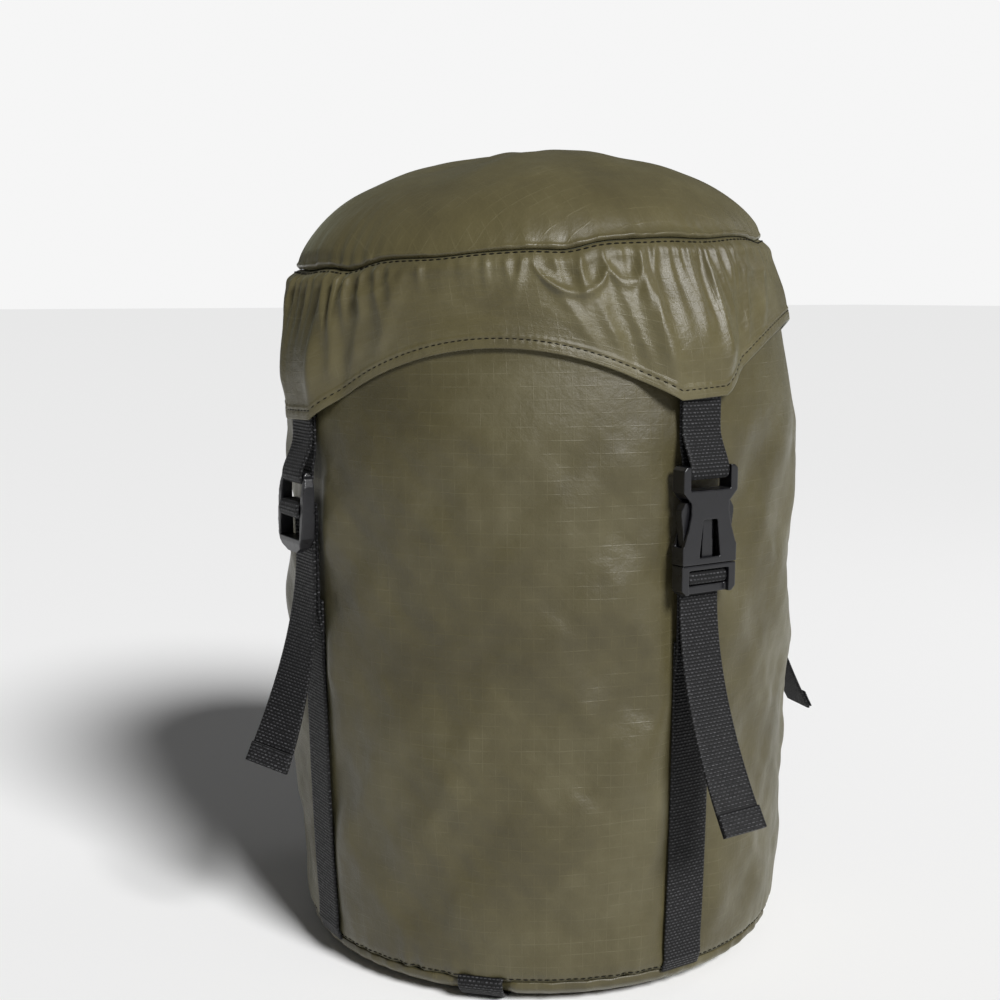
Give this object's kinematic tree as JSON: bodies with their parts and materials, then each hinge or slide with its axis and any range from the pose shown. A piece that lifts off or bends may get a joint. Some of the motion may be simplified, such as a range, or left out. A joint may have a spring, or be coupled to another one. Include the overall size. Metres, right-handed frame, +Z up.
{
  "type": "compression sack",
  "caption": "Round drawstring stuff sack packed full, with a scalloped cap lid pulled down by webbing straps through side-release buckles and ladder locks.",
  "frame": {"origin": "on the sack's axis, on the surface it stands on, at the middle of the bottom handle's underside", "axes": "+Z up along the sack, -Y towards the front buckle, +X towards the right-hand ladder lock"},
  "size_m": [0.3271, 0.3132, 0.368],
  "materials": {
    "ripstop": "olive ripstop nylon with a satin sheen",
    "lining": "bunched olive nylon hem",
    "load": "packed sleeping bag",
    "webbing": "black ribbed polypropylene webbing",
    "plastic": "black moulded acetal, satin",
    "eyelet": "blackened brass"
  },
  "bodies": {
    "sack": {"stuffed_contents": "load", "side_wall": "ripstop", "bottom_panel": "ripstop", "bottom_handle": "webbing", "mouth_channel": "lining", "mouth_eyelet": "eyelet", "front_lower_strap": "webbing", "back_lower_strap": "webbing", "left_lower_strap": "webbing", "right_lower_strap": "webbing"},
    "lid": {"lid_top": "ripstop", "lid_skirt": "ripstop", "front_upper_loop": "webbing", "back_upper_loop": "webbing", "left_upper_loop": "webbing", "right_upper_loop": "webbing", "front_buckle_socket": "plastic", "back_buckle_socket": "plastic"},
    "front_insert": {"front_buckle_insert": "plastic", "front_strap_wrap": "webbing"},
    "front_prong_a": {"front_prong_a": "plastic"},
    "front_prong_b": {"front_prong_b": "plastic"},
    "front_tail": {"front_tail": "webbing"},
    "back_insert": {"back_buckle_insert": "plastic", "back_strap_wrap": "webbing"},
    "back_prong_a": {"back_prong_a": "plastic"},
    "back_prong_b": {"back_prong_b": "plastic"},
    "back_tail": {"back_tail": "webbing"},
    "left_lock": {"left_ladder_lock": "plastic", "left_strap_wrap": "webbing"},
    "left_tail": {"left_tail": "webbing"},
    "right_lock": {"right_ladder_lock": "plastic", "right_strap_wrap": "webbing"},
    "right_tail": {"right_tail": "webbing"}
  },
  "joints": [
    {"name": "lid_lift", "type": "slide", "parent": "sack", "child": "lid", "axis": [0, 0, 1], "range_m": [0, 0.08], "deforming": ["front_lower_strap", "back_lower_strap", "left_lower_strap", "right_lower_strap"]},
    {"name": "front_unclip", "type": "slide", "parent": "lid", "child": "front_insert", "axis": [0, 0, -1], "range_m": [0, 0.03]},
    {"name": "front_squeeze_a", "type": "hinge", "parent": "front_insert", "child": "front_prong_a", "pos_m": [0.0095, -0.126, 0.1947], "axis": [0, -1, 0], "range_deg": [0, 7.8]},
    {"name": "front_squeeze_b", "type": "hinge", "parent": "front_insert", "child": "front_prong_b", "pos_m": [-0.0095, -0.126, 0.1947], "axis": [0, 1, 0], "range_deg": [0, 7.8]},
    {"name": "front_tail_swing", "type": "hinge", "parent": "front_insert", "child": "front_tail", "pos_m": [0, -0.1235, 0.1801], "axis": [-1, 0, 0], "range_deg": [0, 35]},
    {"name": "back_unclip", "type": "slide", "parent": "lid", "child": "back_insert", "axis": [0, 0, -1], "range_m": [0, 0.03]},
    {"name": "back_squeeze_a", "type": "hinge", "parent": "back_insert", "child": "back_prong_a", "pos_m": [-0.0095, 0.126, 0.1855], "axis": [0, 1, 0], "range_deg": [0, 7.8]},
    {"name": "back_squeeze_b", "type": "hinge", "parent": "back_insert", "child": "back_prong_b", "pos_m": [0.0095, 0.126, 0.1855], "axis": [0, -1, 0], "range_deg": [0, 7.8]},
    {"name": "back_tail_swing", "type": "hinge", "parent": "back_insert", "child": "back_tail", "pos_m": [0, 0.1235, 0.1709], "axis": [1, 0, 0], "range_deg": [0, 35]},
    {"name": "left_lock_tilt", "type": "hinge", "parent": "lid", "child": "left_lock", "pos_m": [-0.12555, 0, 0.2262], "axis": [0, 1, 0], "range_deg": [0, 40]},
    {"name": "left_tail_swing", "type": "hinge", "parent": "left_lock", "child": "left_tail", "pos_m": [-0.1235, 0, 0.1907], "axis": [0, 1, 0], "range_deg": [0, 35]},
    {"name": "right_lock_tilt", "type": "hinge", "parent": "lid", "child": "right_lock", "pos_m": [0.12555, 0, 0.2407], "axis": [0, -1, 0], "range_deg": [0, 40]},
    {"name": "right_tail_swing", "type": "hinge", "parent": "right_lock", "child": "right_tail", "pos_m": [0.1235, 0, 0.2051], "axis": [0, -1, 0], "range_deg": [0, 35]}
  ],
  "couplings": [
    {"joint": "front_squeeze_a", "follows": "front_unclip", "rad_per_m": 4.5},
    {"joint": "front_squeeze_b", "follows": "front_unclip", "rad_per_m": 4.5},
    {"joint": "back_squeeze_a", "follows": "back_unclip", "rad_per_m": 4.5},
    {"joint": "back_squeeze_b", "follows": "back_unclip", "rad_per_m": 4.5}
  ]
}
